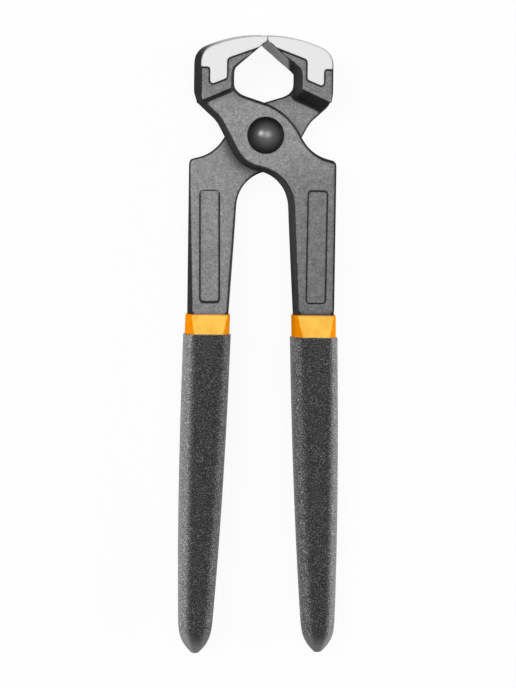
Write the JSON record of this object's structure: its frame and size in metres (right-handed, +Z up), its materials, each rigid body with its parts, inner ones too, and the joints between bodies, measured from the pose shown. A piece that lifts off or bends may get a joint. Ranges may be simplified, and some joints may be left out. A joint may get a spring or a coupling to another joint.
{
  "type": "end cutting nippers",
  "caption": "End cutting nippers with forged lap-jointed levers, a domed rivet and dipped handles, for cutting wire and pulling nails.",
  "frame": {"origin": "centre of the bounding box on the plane that the tool lies on", "axes": "+X across the tool, +Y along it towards the jaws, +Z up out of the face with the domed rivet head"},
  "size_m": [0.052, 0.2, 0.0211],
  "materials": {
    "forged_steel": "black phosphate on a fine blasted skin, ground bright on the jaws' pads and cutting edges",
    "rivet_steel": "smooth, blackened",
    "orange_coat": "glossy dipped vinyl",
    "black_coat": "fine grained dipped vinyl"
  },
  "bodies": {
    "rear_half": {"rear_lever": "forged_steel", "pivot_rivet": "rivet_steel", "left_inner_sleeve": "orange_coat", "left_grip": "black_coat"},
    "front_half": {"front_lever": "forged_steel", "right_inner_sleeve": "orange_coat", "right_grip": "black_coat"}
  },
  "joints": [
    {"name": "jaw_pivot", "type": "hinge", "parent": "rear_half", "child": "front_half", "pos_m": [0, 0.0676, 0.01], "axis": [0, 0, 1], "range_deg": [0, 40]}
  ]
}
